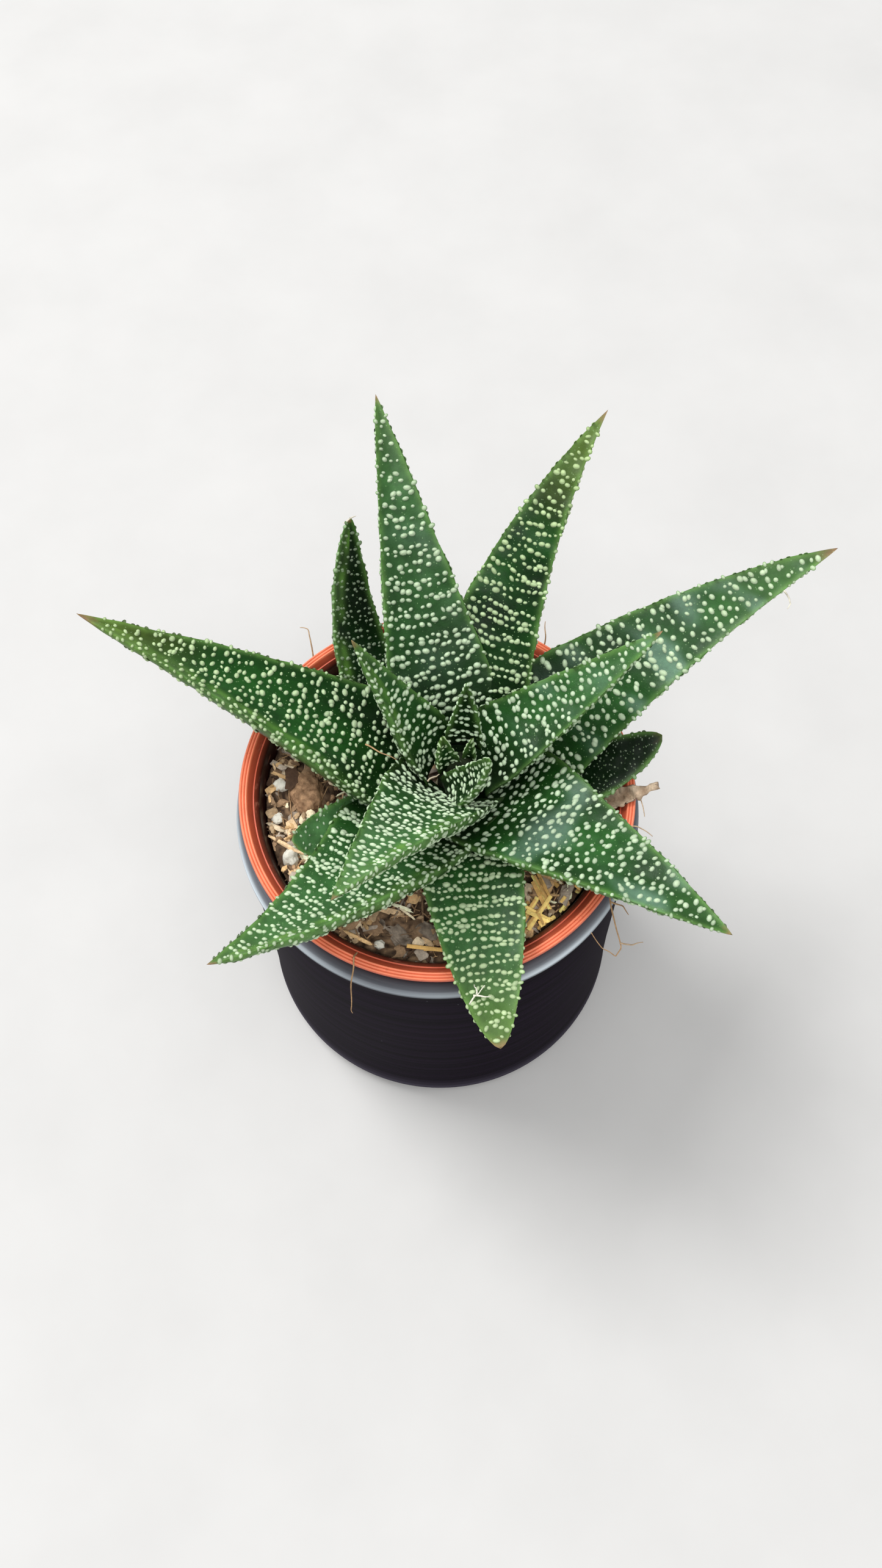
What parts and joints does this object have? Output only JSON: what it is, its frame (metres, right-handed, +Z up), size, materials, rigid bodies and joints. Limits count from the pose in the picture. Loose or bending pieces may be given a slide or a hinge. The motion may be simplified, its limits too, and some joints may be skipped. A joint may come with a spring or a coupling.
{
  "type": "potted haworthia",
  "caption": "Rosette of pointed, white-warted succulent leaves in an orange nursery pot inside a black glazed outer pot.",
  "frame": {"origin": "middle of the outer pot's flat foot, on the surface it stands on", "axes": "+Z up, out of the pot; -Y towards the picture's viewer; +X to the viewer's right"},
  "size_m": [0.1086, 0.0868, 0.0979],
  "materials": {
    "black_glaze": "glossy near-black glaze over fine throwing lines",
    "orange_plastic": "satin orange-red moulded plastic with a ridged rim",
    "haworthia_flesh": "waxy dark green leaf skin with raised white warts",
    "dry_leaf": "papery, withered, tan and brown",
    "potting_soil": "dark fibrous peat with root hairs",
    "perlite": "rough off-white expanded grains",
    "bark": "rough grey-brown bark and peat",
    "straw": "dry golden fibre"
  },
  "bodies": {
    "root": {"bark_chip_6": "bark", "bark_chip_7": "bark", "bark_chip_8": "bark", "leaf_back_left_small": "haworthia_flesh", "leaf_back_right": "haworthia_flesh", "leaf_back_tall": "haworthia_flesh", "leaf_dry": "dry_leaf", "leaf_front": "haworthia_flesh", "leaf_front_left_inner": "haworthia_flesh", "leaf_front_left_long": "haworthia_flesh", "leaf_front_right_broad": "haworthia_flesh", "leaf_heart_curled": "haworthia_flesh", "leaf_heart_sliver": "haworthia_flesh", "leaf_heart_small": "haworthia_flesh", "leaf_heart_tall": "haworthia_flesh", "leaf_left_inner": "haworthia_flesh", "leaf_left_long": "haworthia_flesh", "leaf_left_low": "haworthia_flesh", "leaf_right_inner": "haworthia_flesh", "leaf_right_long": "haworthia_flesh", "leaf_right_low": "haworthia_flesh", "nursery_pot": "orange_plastic", "outer_pot": "black_glaze", "peat_lump_5": "bark", "perlite_1": "perlite", "perlite_2": "perlite", "perlite_3": "perlite", "perlite_4": "perlite", "soil": "potting_soil", "stem": "haworthia_flesh", "straw_10": "straw", "straw_9": "straw"}
  },
  "joints": []
}
